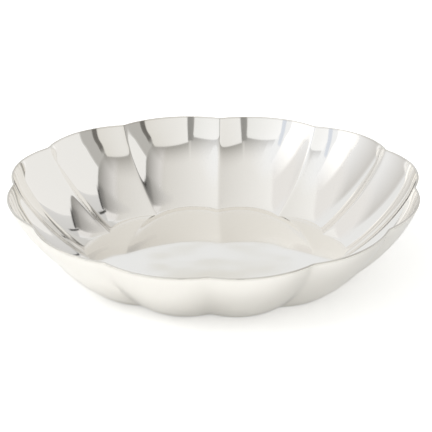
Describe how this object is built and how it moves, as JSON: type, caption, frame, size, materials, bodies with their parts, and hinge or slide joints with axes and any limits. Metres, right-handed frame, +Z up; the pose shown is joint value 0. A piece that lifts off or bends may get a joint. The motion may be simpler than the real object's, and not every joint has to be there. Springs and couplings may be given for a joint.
{
  "type": "bowl",
  "caption": "Shallow fluted bowl raised from a single sheet of polished silver, with a lobed lip and a flat foot to rest on.",
  "frame": {"origin": "middle of the flat underside, on the surface that the bowl stands on", "axes": "+Z up, out of the bowl's mouth; +X and +Y each run through a crease; the lip rides highest at +X and -X and lowest at +Y and -Y"},
  "size_m": [0.2494, 0.2494, 0.0503],
  "materials": {
    "polished_silver": "sterling silver, mirror polished, with a few fine pits and a faint polishing haze"
  },
  "bodies": {
    "root": {"bowl_shell": "polished_silver"}
  },
  "joints": []
}
